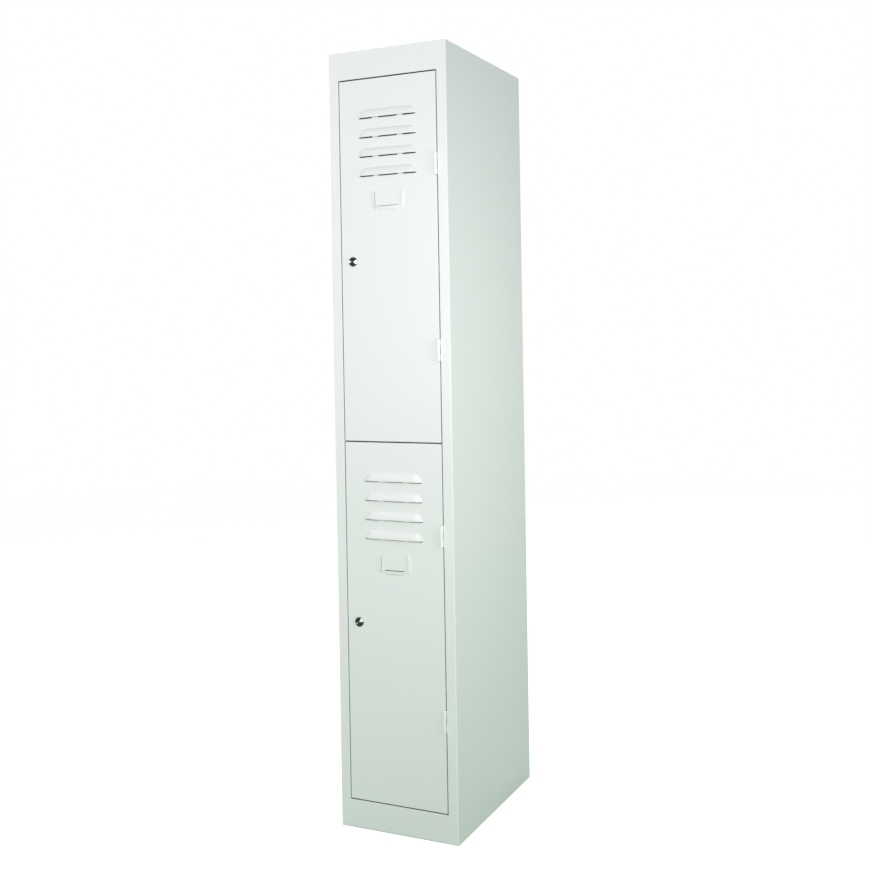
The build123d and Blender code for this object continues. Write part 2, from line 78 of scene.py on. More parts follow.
class LockerSizes(bpy.types.PropertyGroup):
    """Sizes of the folded and pressed sheet steel."""

    sheet: FloatProperty(
        name="Sheet", description="Thickness of the sheet steel",
        default=0.0008, min=0.0003, unit="LENGTH", subtype="DISTANCE")
    fold_radius: FloatProperty(
        name="Fold radius", description="Outer radius of a fold",
        default=0.0012, min=0.001, unit="LENGTH", subtype="DISTANCE")
    corner_radius: FloatProperty(
        name="Corner radius", description="Outer radius of the body's upright corners",
        default=0.0022, min=0.001, unit="LENGTH", subtype="DISTANCE")
    fold_segments: IntProperty(
        name="Fold segments", description="Facets round each fold", default=6, min=2, max=16)
    stile_width: FloatProperty(
        name="Stile width", description="Width of the upright on either side of the doors",
        default=0.025, unit="LENGTH", subtype="DISTANCE")
    header_height: FloatProperty(
        name="Header height", description="Height of the rail over the upper door",
        default=0.065, unit="LENGTH", subtype="DISTANCE")
    kick_height: FloatProperty(
        name="Kick plate height", description="Height of the rail under the lower door",
        default=0.067, unit="LENGTH", subtype="DISTANCE")
    jamb_depth: FloatProperty(
        name="Jamb depth", description="Depth from the front to the stop flange",
        default=0.022, unit="LENGTH", subtype="DISTANCE")
    stop_flange: FloatProperty(
        name="Stop flange", description="Width of the flange that the doors close against",
        default=0.012, unit="LENGTH", subtype="DISTANCE")
    rear_flange: FloatProperty(
        name="Rear flange", description="Width of the side panels' flange behind the back panel",
        default=0.015, unit="LENGTH", subtype="DISTANCE")
    foot_flange: FloatProperty(
        name="Foot flange", description="Width of the side panels' flange on the floor",
        default=0.018, unit="LENGTH", subtype="DISTANCE")
    door_side: FloatProperty(
        name="Door's sides", description="How far a door's skin reaches past its packed part on each side",
        default=0.0003, min=0, max=0.001, unit="LENGTH", subtype="DISTANCE")
    door_top: FloatProperty(
        name="Over a door", description="How much lower a door's skin ends than its packed part",
        default=0.0006, min=0, max=0.001, unit="LENGTH", subtype="DISTANCE")
    foot_fold: FloatProperty(
        name="Foot fold", description="Outer radius of the kick plate's fold at the floor",
        default=0.0026, min=0.001, unit="LENGTH", subtype="DISTANCE")
    door_lip: FloatProperty(
        name="Door lip", description="Width of the lip turned in behind the door's edges",
        default=0.014, unit="LENGTH", subtype="DISTANCE")
    louvre_length: FloatProperty(
        name="Louvre length", description="Length of a louvre",
        default=0.144, unit="LENGTH", subtype="DISTANCE")
    louvre_height: FloatProperty(
        name="Louvre height", description="Height of a louvre's hood",
        default=0.0175, unit="LENGTH", subtype="DISTANCE")
    louvre_projection: FloatProperty(
        name="Louvre projection", description="How far a louvre's lip stands proud",
        default=0.0052, unit="LENGTH", subtype="DISTANCE")
    louvre_gap: FloatProperty(
        name="Louvre gap", description="Height of the opening under a louvre's lip",
        default=0.0021, unit="LENGTH", subtype="DISTANCE")
    louvre_pitch: FloatProperty(
        name="Louvre pitch", description="Distance between louvres",
        default=0.045, unit="LENGTH", subtype="DISTANCE")
    louvre_drop: FloatProperty(
        name="First louvre", description="From the door's top to the first louvre's lip",
        default=0.091, unit="LENGTH", subtype="DISTANCE")
    louvre_count: IntProperty(name="Louvres", description="Louvres in each door", default=4, min=1, max=8)
    rib_height: FloatProperty(
        name="Card rib width", description="Width of a card holder's rib",
        default=0.009, unit="LENGTH", subtype="DISTANCE")
    rib_projection: FloatProperty(
        name="Card rib projection", description="How far a card holder's rib stands proud",
        default=0.0024, unit="LENGTH", subtype="DISTANCE")
    side_rib_height: FloatProperty(
        name="Side rib width", description="Width of a card holder's side rib",
        default=0.008, unit="LENGTH", subtype="DISTANCE")
    side_rib_projection: FloatProperty(
        name="Side rib projection", description="How far a card holder's side rib stands proud",
        default=0.0015, unit="LENGTH", subtype="DISTANCE")
    side_rib_gap: FloatProperty(
        name="Side slot", description="Width of the opening at a side rib's mouth",
        default=0.0005, unit="LENGTH", subtype="DISTANCE")
    rib_gap: FloatProperty(
        name="Card slot", description="Width of the opening at a rib's mouth",
        default=0.0013, unit="LENGTH", subtype="DISTANCE")
    card_width: FloatProperty(
        name="Card width", description="Distance between the card holder's side ribs",
        default=0.07, unit="LENGTH", subtype="DISTANCE")
    side_rib_length: FloatProperty(
        name="Side rib length", description="Length of the card holder's side ribs",
        default=0.041, unit="LENGTH", subtype="DISTANCE")
    bottom_rib_length: FloatProperty(
        name="Bottom rib length", description="Length of the card holder's bottom rib",
        default=0.056, unit="LENGTH", subtype="DISTANCE")
    side_rib_drop: FloatProperty(
        name="Side ribs", description="From the door's top to the middle of the side ribs",
        default=0.284, unit="LENGTH", subtype="DISTANCE")
    bottom_rib_drop: FloatProperty(
        name="Bottom rib", description="From the door's top to the bottom rib's mouth",
        default=0.299, unit="LENGTH", subtype="DISTANCE")
    channel_side: FloatProperty(
        name="Channel side",
        description="From the middle of a door's stiffening channel to half way through its wall",
        default=0.0236, unit="LENGTH", subtype="DISTANCE")
    lock_hole: FloatProperty(
        name="Lock hole", description="Radius of the lock's hole in the door",
        default=0.0091, unit="LENGTH", subtype="DISTANCE")
    head_rim: FloatProperty(
        name="Lock rim", description="Rounding of a lock head's outer edge",
        default=0.0007, unit="LENGTH", subtype="DISTANCE")
    head_grooves: IntProperty(
        name="Lock grooves", description="Turned grooves round a lock's head", default=4, min=1)
    groove_depth: FloatProperty(
        name="Groove depth", description="Depth of a lock head's grooves",
        default=0.00008, unit="LENGTH", subtype="DISTANCE")
    plug_clearance: FloatProperty(
        name="Plug clearance", description="Room round a lock's plug",
        default=0.00005, unit="LENGTH", subtype="DISTANCE")
    barrel_clearance: FloatProperty(
        name="Barrel clearance", description="Room round a lock's barrel in the door's hole",
        default=0.00025, unit="LENGTH", subtype="DISTANCE")
    notch_clearance: FloatProperty(
        name="Notch clearance", description="Room round a hinge in the door's edge",
        default=0.001, unit="LENGTH", subtype="DISTANCE")
    slot_clearance: FloatProperty(
        name="Slot clearance", description="Room round a hinge leaf in the stile",
        default=0.0004, unit="LENGTH", subtype="DISTANCE")
    rivet_rows: IntProperty(
        name="Rivet rows", description="Rivets along each edge of the back panel", default=7, min=2)
    rivet_head: FloatProperty(
        name="Rivet head radius", description="Radius of a back panel rivet's head",
        default=0.0032, unit="LENGTH", subtype="DISTANCE")


class LockerFinish(bpy.types.PropertyGroup):
    """Colours and gloss of the locker's finishes."""

    paint: FloatVectorProperty(
        name="Paint", description="Powder coat on the sheet steel", subtype="COLOR",
        default=(0.825, 0.87, 0.848), min=0, max=1)
    paint_shade: FloatVectorProperty(
        name="Paint shade", description="Slightly deeper tone that drifts over the paint", subtype="COLOR",
        default=(0.80, 0.85, 0.822), min=0, max=1)
    paint_roughness: FloatProperty(
        name="Paint roughness", description="Roughness of the powder coat",
        default=0.42, min=0, max=1, subtype="FACTOR")
    # Painted shade: a dark colour that stands in for the shadow in narrow gaps and inside the doors'
    # channels.
    painted_shade: FloatVectorProperty(
        name="Painted gap shade", description="Dark colour painted as shade in narrow gaps and channels",
        subtype="COLOR", default=(0.10, 0.11, 0.105), min=0, max=1)
    # Painted highlight: a lighter colour along the rounded front corners, where the fold catches the light.
    corner_highlight: FloatVectorProperty(
        name="Painted corner highlight", description="Lighter paint along the body's upright front corners",
        subtype="COLOR", default=(0.95, 0.97, 0.96), min=0, max=1)
    # Painted light: the hinge paint is a lighter copy of the body's paint, so that the hinges look more
    # brightly lit.
    hinge_paint: FloatVectorProperty(
        name="Hinge paint", description="Smoother paint on the hinges and rivets", subtype="COLOR",
        default=(0.90, 0.935, 0.915), min=0, max=1)
    lock: FloatVectorProperty(
        name="Lock metal", description="Dark turned metal of the locks", subtype="COLOR",
        default=(0.035, 0.038, 0.035), min=0, max=1)
    # Painted highlight: the bright colour of the wedge and streak on each lock's face.
    lock_highlight_tone: FloatVectorProperty(
        name="Lock highlight", description="Bright wedge painted on the lock's face as a highlight", subtype="COLOR",
        default=(0.80, 0.80, 0.79), min=0, max=1)
    zinc: FloatVectorProperty(
        name="Zinc", description="Zinc plating on cams, nuts and pins", subtype="COLOR",
        default=(0.66, 0.68, 0.70), min=0, max=1)
    brass: FloatVectorProperty(
        name="Brass", description="Brass of the lock wafers", subtype="COLOR",
        default=(0.74, 0.56, 0.26), min=0, max=1)
    rubber: FloatVectorProperty(
        name="Rubber", description="Rubber of the door buffers", subtype="COLOR",
        default=(0.03, 0.03, 0.03), min=0, max=1)


class LockerStudio(bpy.types.PropertyGroup):
    """Light, floor and camera."""

    ambient: FloatProperty(
        name="Ambient", description="Strength of the even light from all round", default=0.347, min=0)
    ambient_colour: FloatVectorProperty(
        name="Ambient colour", description="Tint of the even light", subtype="COLOR",
        default=(0.88, 1.0, 0.93), min=0, max=1)
    key_power: FloatProperty(
        name="Key power", description="Power of the tall lamp before the front",
        default=31.6, min=0, unit="POWER")
    key_colour: FloatVectorProperty(
        name="Key colour", description="Tint of the tall lamp", subtype="COLOR",
        default=(1.0, 0.895, 0.955), min=0, max=1)
    side_power: FloatProperty(
        name="Side power", description="Power of the lamp beside the right side",
        default=12.0, min=0, unit="POWER")
    side_colour: FloatVectorProperty(
        name="Side colour", description="Tint of the lamp beside the right side", subtype="COLOR",
        default=(1.0, 0.965, 0.98), min=0, max=1)
    top_power: FloatProperty(
        name="Top power", description="Power of the small lamp high before the front",
        default=2.2, min=0, unit="POWER")
    rear_power: FloatProperty(
        name="Rear power", description="Power of the lamp behind, which the photograph's view doesn't see",
        default=82, min=0, unit="POWER")
    rear_colour: FloatVectorProperty(
        name="Rear colour", description="Tint of the lamp behind", subtype="COLOR",
        default=(1.0, 0.93, 0.96), min=0, max=1)
    floor_colour: FloatVectorProperty(
        name="Floor", description="Pale floor", subtype="COLOR", default=(0.25, 0.41, 0.285), min=0, max=1)
    floor_lift: FloatProperty(
        name="Floor lift", description="White that the camera adds to the floor", default=0.89, min=0, max=1)
    floor_radius: FloatProperty(
        name="Floor radius", description="Radius of the round floor",
        default=7, min=1, unit="LENGTH", subtype="DISTANCE")
    focal_length: FloatProperty(
        name="Focal length", description="Lens of the camera, in millimetres", default=47.86, min=1)
    camera_place: FloatVectorProperty(
        name="Camera place", description="Where the camera stands",
        default=(1.2468, -2.6072, 1.1501), unit="LENGTH", subtype="TRANSLATION")
    camera_turn: FloatVectorProperty(
        name="Camera turn", description="Yaw, pitch and roll of the camera, from looking along Y",
        default=(-0.436, -0.0105, -0.0168), unit="ROTATION", subtype="EULER")
    camera_shift: FloatVectorProperty(
        name="Camera shift", description="Shift of the lens across and up, in widths of the picture",
        default=(-0.00953, -0.09573), size=2)


class Value:
    """A shader socket that takes part in sums."""

    def __init__(self, finish, socket):
        self.finish = finish
        self.socket = socket

    def maths(self, operation, first, second):
        return self.finish.add("ShaderNodeMath", {"operation": operation}, {0: first, 1: second})

    def __add__(self, other):
        return self.maths("ADD", self, other)

    def __radd__(self, other):
        return self.maths("ADD", other, self)

    def __sub__(self, other):
        return self.maths("SUBTRACT", self, other)

    def __rsub__(self, other):
        return self.maths("SUBTRACT", other, self)

    def __mul__(self, other):
        return self.maths("MULTIPLY", self, other)

    def __rmul__(self, other):
        return self.maths("MULTIPLY", other, self)


class Finish:
    """One procedural material, or the world's shader."""

    def __init__(self, owner):
        owner.use_nodes = True
        self.owner = owner
        self.tree = owner.node_tree
        self.tree.nodes.clear()

    def add(self, kind, settings=None, inputs=None, output=0):
        """Adds a node: its settings first, then the values or links of its sockets."""
        node = self.tree.nodes.new(kind)
        for name, value in (settings or {}).items():
            setattr(node, name, value)
        for name, value in (inputs or {}).items():
            socket = node.inputs[name]
            if isinstance(value, Value):
                self.tree.links.new(value.socket, socket)
            else:
                socket.default_value = value
        return Value(self, node.outputs[output]) if node.outputs else None

    def place(self, scale=(1, 1, 1)):
        """The piece's own coordinates, stretched as a pattern needs."""
        spot = self.add("ShaderNodeTexCoord", output="Object")
        return self.add("ShaderNodeMapping", {}, {"Vector": spot, "Scale": scale})

    def noise(self, spot, scale, detail=2.0, roughness=0.5):
        return self.add("ShaderNodeTexNoise", {}, {
            "Vector": spot, "Scale": scale, "Detail": detail, "Roughness": roughness})

    def rise(self, value, start, end, least=0.0):
        """Smoothly from least to one as the value goes from start to end."""
        return self.add("ShaderNodeMapRange", {"interpolation_type": "SMOOTHSTEP"}, {
            "Value": value, "From Min": start, "From Max": end, "To Min": least})

    def beside(self, axis, start, end):
        """Zero to one as a place along X, Y or Z goes from start to end. Left and right count alike."""
        spot = self.add("ShaderNodeTexCoord", output="Object")
        place = self.add("ShaderNodeSeparateXYZ", {}, {"Vector": spot}, output=axis)
        if axis == 0:
            place = self.add("ShaderNodeMath", {"operation": "ABSOLUTE"}, {0: place})
        return self.rise(place, start, end)

    def blend(self, factor, first, second):
        """Mix of two colours."""
        return self.add("ShaderNodeMix", {"data_type": "RGBA"}, {
            0: factor, 6: first, 7: second}, output=2)

    def bump(self, height, distance, strength=1.0, below=None):
        inputs = {"Height": height, "Distance": distance, "Strength": strength}
        if below:
            inputs["Normal"] = below
        return self.add("ShaderNodeBump", {}, inputs)

    def seen_directly(self):
        """One where the camera looks straight, through glass or off a shiny face, else zero."""
        camera, glossy, through = [self.add("ShaderNodeLightPath", output=ray) for ray in (
            "Is Camera Ray", "Is Glossy Ray", "Is Transmission Ray")]
        nearer = self.add("ShaderNodeMath", {"operation": "MAXIMUM"}, {0: camera, 1: glossy})
        return self.add("ShaderNodeMath", {"operation": "MAXIMUM"}, {0: nearer, 1: through})

    def surface(self, **inputs):
        """Ends the material with a surface shader. Underscores in names stand for spaces."""
        named = {name.replace("_", " "): value for name, value in inputs.items()}
        shader = self.add("ShaderNodeBsdfPrincipled", {}, named)
        self.add("ShaderNodeOutputMaterial", {}, {"Surface": shader})
        return self.owner


def colour(values):
    return (*values, 1)


def powder_coat(name, tone, shade, roughness, painted_shade=None, corner_highlight=None, channel=None):
    """Satin powder coat: fine orange peel, faint waves in the sheet, and a slight drift in tone.

    In a narrow gap, or between the walls of a channel, the coat may take a painted shade, dark as in shadow.
    The upright front corners may take a painted highlight, a little lighter."""
    paint = Finish(bpy.data.materials.new(name))
    spot = paint.place()
    drift = paint.noise(spot, scale=2.6, detail=3.0)
    specks = paint.noise(spot, scale=900.0, detail=1.0)
    peel = paint.noise(spot, scale=420.0, detail=2.0, roughness=0.55)
    waves = paint.noise(spot, scale=5.5, detail=1.0)
    wavy = paint.bump(waves, distance=0.0012, strength=0.35)
    base = paint.blend(drift, colour(tone), colour(shade))
    if painted_shade and channel:
        # Painted shade between the channel's walls, and before its rear web.
        side, rear = channel
        soft = 0.0002
        painted_shade_mask = paint.beside(0, side + soft, side - soft) * paint.beside(1, rear - soft, rear - 3 * soft)
        base = paint.blend(painted_shade_mask, base, colour(painted_shade))
    elif painted_shade:
        # Painted shade in a narrow gap, found by ambient occlusion, more on its level faces than on its
        # upright ones.
        room = paint.add("ShaderNodeAmbientOcclusion", {"samples": 6}, {"Distance": 0.005}, output="AO")
        facing = paint.add("ShaderNodeNewGeometry", output="Normal")
        upright = paint.add("ShaderNodeVectorMath", {"operation": "DOT_PRODUCT"}, {
            0: facing, 1: (0, 0, 1)}, output="Value")
        painted_shade_mask = paint.rise(1 - room, start=0.1, end=0.6)
        level = paint.rise(upright * upright, start=0.0, end=0.3, least=0.45)
        base = paint.blend(painted_shade_mask * level, base, colour(painted_shade))
    if corner_highlight:
        # Painted highlight along the upright front corners, stronger towards the floor.
        inner, outer, strength = 0.0022, 0.0012, 0.9
        across = paint.beside(0, RIGHT - inner, RIGHT - outer)
        deep = paint.beside(1, FRONT + inner, FRONT + outer)
        low_down = paint.beside(2, start=1.0, end=0.1)
        base = paint.blend(across * deep * low_down * strength, base, colour(corner_highlight))
    return paint.surface(
        Base_Color=base,
        Roughness=roughness - 0.03 + drift * 0.05 + specks * 0.03,
        Coat_Weight=0.12, Coat_Roughness=0.18, Specular_IOR_Level=0.45,
        Normal=paint.bump(peel, distance=0.00008, strength=0.35, below=wavy))


def turned_metal(name, tone, highlight_tone, roughness, centre, turn):
    """Dark turned metal with a painted highlight: a bright wedge to one side of the lock's axis and a streak
    opposite.
    """
    metal = Finish(bpy.data.materials.new(name))
    centred = metal.add("ShaderNodeMapping", {"vector_type": "POINT"}, {
        "Vector": metal.add("ShaderNodeTexCoord", output="Object"), "Location": (-centre.x, 0, -centre.z)})
    flat = metal.add("ShaderNodeVectorMath", {"operation": "MULTIPLY"}, {0: centred, 1: (1, 0, 1)})
    bearing = metal.add("ShaderNodeVectorMath", {"operation": "NORMALIZE"}, {0: flat})
    along = metal.add("ShaderNodeVectorMath", {"operation": "DOT_PRODUCT"}, {
        0: bearing, 1: (math.cos(turn), 0, math.sin(turn))}, output="Value")
    wedge = metal.rise(along, start=0.84, end=0.95)
    streak = metal.rise(0 - along, start=0.965, end=0.995)
    scratches = metal.noise(metal.place(), scale=1500.0, detail=2.0)
    streak_share, scratch_share = 0.55, 0.15
    # The bright mask is a painted highlight: wedge and streak, broken up by scratches.
    bright = wedge + streak * streak_share - scratches * scratch_share
    return metal.surface(
        Base_Color=metal.blend(bright, colour(tone), colour(highlight_tone)),
        Metallic=1.0, Roughness=roughness + scratches * 0.06,
        Normal=metal.bump(scratches, distance=0.00002, strength=0.2))


def plated_metal(name, tone, roughness, grain):
    """Plated or plain metal with a slightly cloudy, brushed face."""
    metal = Finish(bpy.data.materials.new(name))
    cloud = metal.noise(metal.place(), scale=160.0, detail=3.0)
    brushing = metal.noise(metal.place(scale=(1, 1, 0.05)), scale=grain, detail=2.0)
    shade = 0.82
    return metal.surface(
        Base_Color=metal.blend(cloud, colour(tone), colour([part * shade for part in tone])),
        Metallic=1.0, Roughness=roughness + cloud * 0.12,
        Normal=metal.bump(brushing, distance=0.00003, strength=0.35))


def moulded_rubber(name, tone):
    """Matt rubber with a fine moulded grain and a little dust."""
    rubber = Finish(bpy.data.materials.new(name))
    spot = rubber.place()
    dust = rubber.noise(spot, scale=220.0, detail=3.0)
    grain = rubber.noise(spot, scale=2600.0, detail=2.0)
    lighter = 0.025
    return rubber.surface(
        Base_Color=rubber.blend(dust, colour(tone), colour([part + lighter for part in tone])),
        Roughness=0.7 + dust * 0.15,
        Normal=rubber.bump(grain, distance=0.00005, strength=0.6))


def material_named(name):
    found = bpy.data.materials.get(name)
    if found is None:
        raise RuntimeError("make the finishes first: " + name + " is missing")
    return found


def edges_of(geometry):
    return [part for part in geometry if isinstance(part, bmesh.types.BMEdge)]


def verts_of(geometry):
    return [part for part in geometry if isinstance(part, bmesh.types.BMVert)]


def faces_of(geometry):
    return [part for part in geometry if isinstance(part, bmesh.types.BMFace)]


def turn_outwards(bm, faces, outward):
    """Turns a patch of sheet so that its widest face looks along the given direction."""
    bmesh.ops.recalc_face_normals(bm, faces=faces)
    widest = max(faces, key=lambda face: face.calc_area())
    if widest.normal.dot(outward) < 0:
        bmesh.ops.reverse_faces(bm, faces=faces)


def add_strip(bm, corners, radii, run, outward, segments):
    """A strip of folded sheet: a line of corners, each rounded, swept along a straight run."""
    line = [bm.verts.new(corner) for corner in corners]
    for pair in zip(line, line[1:]):
        bm.edges.new(pair)
    for corner, radius in zip(line[1:-1], radii):
        if radius:
            bmesh.ops.bevel(bm, geom=[corner, *corner.link_edges], offset=radius, offset_type="OFFSET",
                            segments=segments, profile=0.5, affect="VERTICES", material=-1)
    wires = [edge for edge in bm.edges if edge.is_wire]
    swept = bmesh.ops.extrude_edge_only(bm, edges=wires)["geom"]
    bmesh.ops.translate(bm, verts=verts_of(swept), vec=run)
    turn_outwards(bm, faces_of(swept), outward)


def cut_box(bm, low, high):
    """Cuts a box-shaped gap into sheet: slices the faces that cross it, then drops what lies inside."""
    for axis in range(3):
        for place in (low[axis], high[axis]):
            normal = Vector((0, 0, 0))
            normal[axis] = 1
            near = [face for face in bm.faces if overlaps(face, low, high)]
            edges = {edge for face in near for edge in face.edges}
            verts = {vert for face in near for vert in face.verts}
            point = normal * place
            bmesh.ops.bisect_plane(bm, geom=[*near, *edges, *verts], dist=NEAR,
                                   plane_co=point, plane_no=normal)
    inside = [face for face in bm.faces if holds(face.calc_center_median(), low, high)]
    bmesh.ops.delete(bm, geom=inside, context="FACES")


def overlaps(face, low, high):
    for axis in range(3):
        reach = [vert.co[axis] for vert in face.verts]
        if max(reach) < low[axis] - NEAR or min(reach) > high[axis] + NEAR:
            return False
    return True


def holds(point, low, high):
    return all(low[axis] < point[axis] < high[axis] for axis in range(3))


def finish_piece(name, bm, body, node, finish, thickness=0.0):
    """Makes the mesh an object that rides on its body, stands for its CAD node and takes its finish."""
    bmesh.ops.remove_doubles(bm, verts=bm.verts, dist=2 * NEAR)
    for face in bm.faces:
        face.smooth = True
    for edge in bm.edges:
        edge.smooth = not edge.is_boundary and edge.calc_face_angle(0) < SHARP_ANGLE
    mesh = bpy.data.meshes.new(name)
    bm.to_mesh(mesh)
    bm.free()
    mesh.materials.append(material_named(finish))
    piece = bpy.data.objects.new(name, mesh)
    bpy.context.scene.collection.objects.link(piece)
    if thickness:
        wall = piece.modifiers.new("Sheet thickness", "SOLIDIFY")
        wall.thickness = thickness
        wall.offset = -1
        wall.use_even_offset = True
        wall.use_rim = True
    flats = piece.modifiers.new("Flat faces lead", "WEIGHTED_NORMAL")
    flats.keep_sharp = True
    flats.weight = FLAT_WEIGHT
    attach(piece, body)
    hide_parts(node)
    return piece


def side_panel(name, mirrored):
    """One side, a single folded sheet: web, stile, jamb, stop flange, rear flange and foot flange."""
    sizes = bpy.context.scene.locker_sizes
    radius = sizes.fold_radius
    corner = sizes.corner_radius
    inner_radius = radius - sizes.sheet
    opening = LEFT + sizes.stile_width
    stop = FRONT + sizes.jamb_depth
    low = sizes.kick_height
    high = SIDE_TOP + sizes.sheet - sizes.header_height
    web = [(LEFT, FRONT), (LEFT, BACK), (LEFT + sizes.rear_flange, BACK)]
    plain = [(opening, FRONT), (opening - radius, FRONT), *web]
    framed = [(STOP_LEFT, stop), (opening, stop), (opening, FRONT), *web]
    bm = bmesh.new()
    for z0, z1, plan, radii in (
            (0, low, plain, (0, corner, corner)),
            (low, high, framed, (inner_radius, radius, corner, corner)),
            (high, SIDE_TOP, plain, (0, corner, corner))):
        corners = [(x, y, z0) for x, y in plan]
        add_strip(bm, corners, radii, (0, 0, z1 - z0), LEFTWARD, sizes.fold_segments)
    foot_front = FRONT + sizes.sheet + 2 * corner
    foot = [(LEFT + sizes.sheet, foot_front, 0), (LEFT + sizes.foot_flange, foot_front, 0)]
    add_strip(bm, foot, (), (0, BACK - 2 * corner - sizes.sheet - foot_front, 0), DOWNWARD, 1)
    bmesh.ops.remove_doubles(bm, verts=bm.verts, dist=2 * NEAR)
    for z0 in (low, high - sizes.stop_flange):
        cut_box(bm, (opening, stop - radius, z0), (STOP_LEFT + radius, stop + radius, z0 + sizes.stop_flange))
    if mirrored:
        bmesh.ops.scale(bm, verts=bm.verts, vec=(-1, 1, 1))
        bmesh.ops.reverse_faces(bm, faces=bm.faces)
        for hinge_low, hinge_high in hinge_boxes():
            slot_low = (-opening - radius, FRONT - radius, hinge_low.z - sizes.slot_clearance)
            slot_high = (-opening + radius, hinge_high.y + sizes.slot_clearance,
                         hinge_high.z + sizes.slot_clearance)
            cut_box(bm, slot_low, slot_high)
    return finish_piece(name, bm, "cabinet", name.replace("_sheet", "_panel"), "Powder coat",
                        sizes.sheet)


def hinge_boxes():
    """Lowest and highest corner of each hinge's frame leaf, knuckles included."""
    return [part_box(door + "_door_" + end + "_hinge_frame_leaf")
            for door in ("upper", "lower") for end in ("bottom", "top")]


def front_rail(name, section, radii, node):
    """A rail between the stiles, folded from its side view (y, z)."""
    sizes = bpy.context.scene.locker_sizes
    opening = LEFT + sizes.stile_width
    bm = bmesh.new()
    corners = [(opening, y, z) for y, z in section]
    add_strip(bm, corners, radii, (-2 * opening, 0, 0), FRONTWARD, sizes.fold_segments)
    return finish_piece(name, bm, "cabinet", node, "Powder coat, shade painted in gaps", sizes.sheet)


def hood_mesh(length, height, projection, gap):
    """A hood pressed out of the skin, its mouth along X facing down, on a narrow ring of flat skin."""
    straight = length - 2 * height
    # The section is a quarter of an ellipse. Below this angle a fillet takes over and runs out to the skin.
    start = math.radians(20)
    rise_in = height * (1 - math.cos(start))
    rise_out = projection * math.sin(start)
    foot = rise_in - rise_out * height * math.sin(start) / (projection * math.cos(start))
    spread = math.hypot(rise_in - foot, rise_out) / 2 - foot
    ring = 0.0012
    arc_steps = 9
    turn_steps = 10
    bm = bmesh.new()
    arc_foot = bm.verts.new((math.cos(start), -math.sin(start), 0))
    bmesh.ops.spin(bm, geom=[arc_foot], cent=(0, 0, 0), axis=(0, 0, 1), dvec=(0, 0, 0),
                   angle=start - math.pi / 2, steps=arc_steps)
    bmesh.ops.scale(bm, verts=bm.verts, vec=(-height, projection, 1))
    bm.verts.ensure_lookup_table()
    foot_vert = bm.verts.new((-height + foot, 0, 0))
    skin_vert = bm.verts.new((-height - spread, 0, 0))
    ring_vert = bm.verts.new((-height - spread - ring, 0, 0))
    for pair in ((arc_foot, foot_vert), (foot_vert, skin_vert), (skin_vert, ring_vert)):
        bm.edges.new(pair)
    bmesh.ops.bevel(bm, geom=[foot_vert, *foot_vert.link_edges], offset=(spread + foot) * ALMOST,
                    offset_type="OFFSET", segments=4, profile=0.5, affect="VERTICES", material=-1)
    bmesh.ops.translate(bm, verts=bm.verts, vec=(-straight / 2, 0, 0))
    profile = [*bm.verts, *bm.edges]
    first = bmesh.ops.spin(bm, geom=profile, cent=(-straight / 2, 0, 0), axis=(0, 1, 0), dvec=(0, 0, 0),
                           angle=math.pi / 2, steps=turn_steps)["geom_last"]
    middle = bmesh.ops.extrude_edge_only(bm, edges=edges_of(first))["geom"]
    bmesh.ops.translate(bm, verts=verts_of(middle), vec=(straight, 0, 0))
    far = [edge for edge in edges_of(middle) if all(vert in set(verts_of(middle)) for vert in edge.verts)]
    bmesh.ops.spin(bm, geom=[*verts_of(middle), *far], cent=(straight / 2, 0, 0), axis=(0, 1, 0),
                   dvec=(0, 0, 0), angle=math.pi / 2, steps=turn_steps)
    bmesh.ops.remove_doubles(bm, verts=bm.verts, dist=NEAR)
    turn_outwards(bm, bm.faces[:], FRONTWARD)
    ends = sorted(bm.verts, key=lambda vert: vert.co.x)
    corners = [ends[0], bm.verts.new((-length / 2, 0, -gap)), bm.verts.new((length / 2, 0, -gap)), ends[-1]]
    for pair in zip(corners, corners[1:]):
        bm.edges.new(pair)
    mesh = bpy.data.meshes.new("hood")
    bm.to_mesh(mesh)
    bm.free()
    return mesh


def closed_loops(edges):
    """Leaves out the edges that end without going on."""
    count = 0
    while count != len(edges):
        count = len(edges)
        ends = Counter(vert for edge in edges for vert in edge.verts)
        edges = [edge for edge in edges if all(ends[vert] > 1 for vert in edge.verts)]
    return edges


def add_copy(bm, mesh, place):
    """Adds a mesh to the one being made, moved to its place."""
    before = set(bm.verts)
    bm.from_mesh(mesh)
    bmesh.ops.transform(bm, matrix=place, verts=[vert for vert in bm.verts if vert not in before])


def add_pan(bm, low, high, lip, radius, segments):
    """The door's edges and rear lips, with rounded folds. Front and rear are left open."""
    bmesh.ops.create_cube(bm, size=1)
    bmesh.ops.scale(bm, verts=bm.verts, vec=high - low)
    bmesh.ops.translate(bm, verts=bm.verts, vec=(low + high) / 2)
    bm.normal_update()
    rear = max(bm.faces, key=lambda face: face.normal.y)
    bmesh.ops.inset_region(bm, faces=[rear], thickness=lip, use_even_offset=True)
    bmesh.ops.delete(bm, geom=[rear], context="FACES")
    flat = [edge for edge in bm.edges if not edge.is_boundary
            and abs(edge.verts[0].co.y - edge.verts[1].co.y) < NEAR
            and edge.calc_face_angle(0) > 1]
    bmesh.ops.bevel(bm, geom=flat, offset=radius, offset_type="OFFSET", segments=segments, profile=0.5,
                    affect="EDGES", material=-1)
    bm.normal_update()
    skin = max(bm.faces, key=lambda face: face.calc_area() * -face.normal.y)
    bmesh.ops.delete(bm, geom=[skin], context="FACES")


